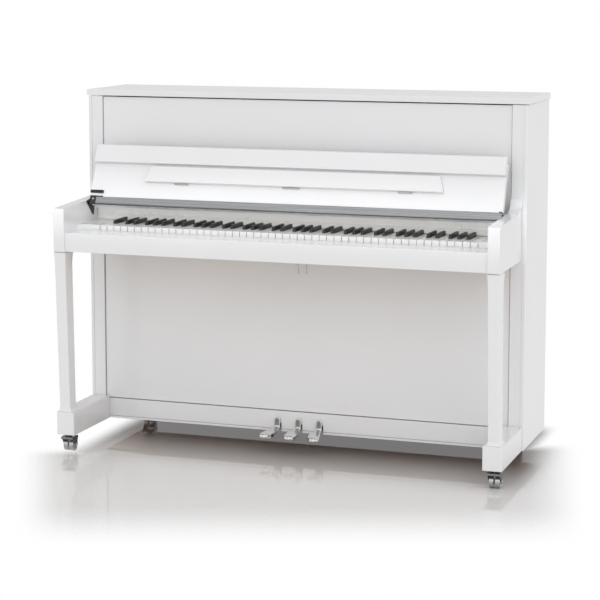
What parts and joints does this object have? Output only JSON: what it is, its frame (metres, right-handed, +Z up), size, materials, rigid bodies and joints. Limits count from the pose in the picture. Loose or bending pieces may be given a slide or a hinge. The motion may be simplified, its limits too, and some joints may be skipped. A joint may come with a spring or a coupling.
{
  "type": "upright piano",
  "caption": "Upright piano in gloss white with front legs and toe blocks, folding fallboard with fold-down music shelf, practice and sustain pedals, on casters.",
  "frame": {"origin": "middle of the bounding box's base, on the floor", "axes": "+X to the player's right along the keyboard, +Y from the player towards the back, +Z up"},
  "size_m": [1.46, 0.61, 1.14],
  "materials": {
    "white": "high-gloss white polyester lacquer",
    "cream": "satin cream lacquer",
    "wood": "clear satin",
    "spruce": "clear satin spruce",
    "steel": "bright drawn steel",
    "iron": "bronze lacquer",
    "felt": "dense wool felt",
    "strip": "fine brushed, anodised",
    "black_steel": "black",
    "black_plastic": "moulded black",
    "pedal_metal": "polished chrome",
    "caster_metal": "polished chrome",
    "caster_wheel": "grey metallic",
    "white_keys": "polished",
    "black_keys": "satin black"
  },
  "bodies": {
    "case": {"left_side": "white", "right_side": "white", "stiles": "white", "left_arm": "white", "right_arm": "white", "left_leg": "white", "right_leg": "white", "left_toe": "white", "right_toe": "white", "upper_panel": "white", "bottom_rail": "white", "keyslip": "white", "key_blocks": "white", "fallboard_shelf": "white", "nameboard": "cream", "bottom_board": "wood", "keybed": "wood", "back_frame": "wood", "bridges": "wood", "pin_block": "wood", "action_frame": "wood", "soundboard": "spruce", "strings": "steel", "tuning_pins": "steel", "pedal_brackets": "steel", "lid_hinge": "steel", "iron_plate": "iron", "damper_unit": "black_plastic"},
    "lid": {"lid": "white", "lid_hinge_leaf": "steel"},
    "fallboard": {"fallboard": "white", "fallboard_strip": "strip", "fallboard_levers": "black_steel", "shelf_hinges": "steel"},
    "lip": {"fallboard_lip": "white"},
    "music_shelf": {"music_shelf": "white"},
    "lower_panel": {"lower_panel": "white"},
    "panel_catch": {"panel_catch": "white"},
    "left_pedal": {"left_pedal": "pedal_metal"},
    "middle_pedal": {"middle_pedal": "pedal_metal"},
    "right_pedal": {"right_pedal": "pedal_metal"},
    "dampers": {"dampers": "felt"},
    "muffler_rail": {"muffler_rail": "wood"},
    "keys_bass": {"white_keys_bass": "white_keys", "black_keys_bass": "black_keys"},
    "hammers_bass": {"hammers_bass": "felt"},
    "keys_tenor": {"white_keys_tenor": "white_keys", "black_keys_tenor": "black_keys"},
    "hammers_tenor": {"hammers_tenor": "felt"},
    "keys_treble": {"white_keys_treble": "white_keys", "black_keys_treble": "black_keys"},
    "hammers_treble": {"hammers_treble": "felt"},
    "caster_front_left": {"caster_fork_front_left": "caster_metal"},
    "wheels_front_left": {"caster_wheels_front_left": "caster_wheel"},
    "caster_front_right": {"caster_fork_front_right": "caster_metal"},
    "wheels_front_right": {"caster_wheels_front_right": "caster_wheel"},
    "caster_rear_left": {"caster_fork_rear_left": "caster_metal"},
    "wheels_rear_left": {"caster_wheels_rear_left": "caster_wheel"},
    "caster_rear_right": {"caster_fork_rear_right": "caster_metal"},
    "wheels_rear_right": {"caster_wheels_rear_right": "caster_wheel"}
  },
  "joints": [
    {"name": "lid_hinge", "type": "hinge", "parent": "case", "child": "lid", "pos_m": [0, 0.303, 1.121], "axis": [-1, 0, 0], "range_deg": [0, 100]},
    {"name": "fallboard_pivot", "type": "hinge", "parent": "case", "child": "fallboard", "pos_m": [0, -0.099, 0.78], "axis": [-1, 0, 0], "range_deg": [-114, 0]},
    {"name": "lip_hinge", "type": "hinge", "parent": "fallboard", "child": "lip", "pos_m": [0, -0.0492, 0.94405], "axis": [1, 0, 0], "range_deg": [-90, 0]},
    {"name": "music_shelf_hinge", "type": "hinge", "parent": "fallboard", "child": "music_shelf", "pos_m": [0, -0.09302, 0.85103], "axis": [1, 0, 0], "range_deg": [0, 90]},
    {"name": "lower_panel_tilt", "type": "hinge", "parent": "case", "child": "lower_panel", "pos_m": [0, -0.002, 0.126], "axis": [1, 0, 0], "range_deg": [0, 20]},
    {"name": "panel_catch_slide", "type": "slide", "parent": "lower_panel", "child": "panel_catch", "axis": [0, 0, 1], "range_m": [-0.006, 0], "stiffness_N_per_m": 400, "springref_m": 0.004},
    {"name": "left_pedal_pivot", "type": "hinge", "parent": "case", "child": "left_pedal", "pos_m": [-0.073, 0.06, 0.092], "axis": [1, 0, 0], "range_deg": [0, 4.5], "stiffness_Nm_per_rad": 30, "springref_deg": -5.73},
    {"name": "middle_pedal_pivot", "type": "hinge", "parent": "case", "child": "middle_pedal", "pos_m": [-0.003, 0.06, 0.092], "axis": [1, 0, 0], "range_deg": [0, 4.5], "stiffness_Nm_per_rad": 30, "springref_deg": -5.73},
    {"name": "right_pedal_pivot", "type": "hinge", "parent": "case", "child": "right_pedal", "pos_m": [0.067, 0.06, 0.092], "axis": [1, 0, 0], "range_deg": [0, 4.5], "stiffness_Nm_per_rad": 30, "springref_deg": -5.73},
    {"name": "keys_bass_rock", "type": "hinge", "parent": "case", "child": "keys_bass", "pos_m": [0, 0.036, 0.69], "axis": [1, 0, 0], "range_deg": [0, 2.44], "stiffness_Nm_per_rad": 24, "springref_deg": -11.46},
    {"name": "hammers_bass_swing", "type": "hinge", "parent": "case", "child": "hammers_bass", "pos_m": [0, 0.096, 0.862], "axis": [-1, 0, 0], "range_deg": [0, 17]},
    {"name": "keys_tenor_rock", "type": "hinge", "parent": "case", "child": "keys_tenor", "pos_m": [0, 0.036, 0.69], "axis": [1, 0, 0], "range_deg": [0, 2.44], "stiffness_Nm_per_rad": 37.2, "springref_deg": -11.46},
    {"name": "hammers_tenor_swing", "type": "hinge", "parent": "case", "child": "hammers_tenor", "pos_m": [0, 0.096, 0.862], "axis": [-1, 0, 0], "range_deg": [0, 17]},
    {"name": "keys_treble_rock", "type": "hinge", "parent": "case", "child": "keys_treble", "pos_m": [0, 0.036, 0.69], "axis": [1, 0, 0], "range_deg": [0, 2.44], "stiffness_Nm_per_rad": 44.4, "springref_deg": -11.46},
    {"name": "hammers_treble_swing", "type": "hinge", "parent": "case", "child": "hammers_treble", "pos_m": [0, 0.096, 0.862], "axis": [-1, 0, 0], "range_deg": [0, 17]},
    {"name": "dampers_lift", "type": "slide", "parent": "case", "child": "dampers", "axis": [0, -1, 0], "range_m": [0, 0.005]},
    {"name": "muffler_drop", "type": "slide", "parent": "case", "child": "muffler_rail", "axis": [0, 0, -1], "range_m": [0, 0.025]},
    {"name": "caster_front_left_swivel", "type": "hinge", "parent": "case", "child": "caster_front_left", "pos_m": [-0.693, -0.254, 0.055], "axis": [0, 0, 1], "continuous": true},
    {"name": "wheels_front_left_roll", "type": "hinge", "parent": "caster_front_left", "child": "wheels_front_left", "pos_m": [-0.693, -0.242, 0.019], "axis": [1, 0, 0], "continuous": true},
    {"name": "caster_front_right_swivel", "type": "hinge", "parent": "case", "child": "caster_front_right", "pos_m": [0.693, -0.254, 0.055], "axis": [0, 0, 1], "continuous": true},
    {"name": "wheels_front_right_roll", "type": "hinge", "parent": "caster_front_right", "child": "wheels_front_right", "pos_m": [0.693, -0.242, 0.019], "axis": [1, 0, 0], "continuous": true},
    {"name": "caster_rear_left_swivel", "type": "hinge", "parent": "case", "child": "caster_rear_left", "pos_m": [-0.64, 0.264, 0.055], "axis": [0, 0, 1], "continuous": true},
    {"name": "wheels_rear_left_roll", "type": "hinge", "parent": "caster_rear_left", "child": "wheels_rear_left", "pos_m": [-0.64, 0.276, 0.019], "axis": [1, 0, 0], "continuous": true},
    {"name": "caster_rear_right_swivel", "type": "hinge", "parent": "case", "child": "caster_rear_right", "pos_m": [0.64, 0.264, 0.055], "axis": [0, 0, 1], "continuous": true},
    {"name": "wheels_rear_right_roll", "type": "hinge", "parent": "caster_rear_right", "child": "wheels_rear_right", "pos_m": [0.64, 0.276, 0.019], "axis": [1, 0, 0], "continuous": true}
  ],
  "couplings": [
    {"joint": "hammers_bass_swing", "follows": "keys_bass_rock", "ratio": 6.95},
    {"joint": "hammers_tenor_swing", "follows": "keys_tenor_rock", "ratio": 6.95},
    {"joint": "hammers_treble_swing", "follows": "keys_treble_rock", "ratio": 6.95},
    {"joint": "dampers_lift", "follows": "right_pedal_pivot", "m_per_rad": 0.0636},
    {"joint": "muffler_drop", "follows": "middle_pedal_pivot", "m_per_rad": 0.318}
  ]
}
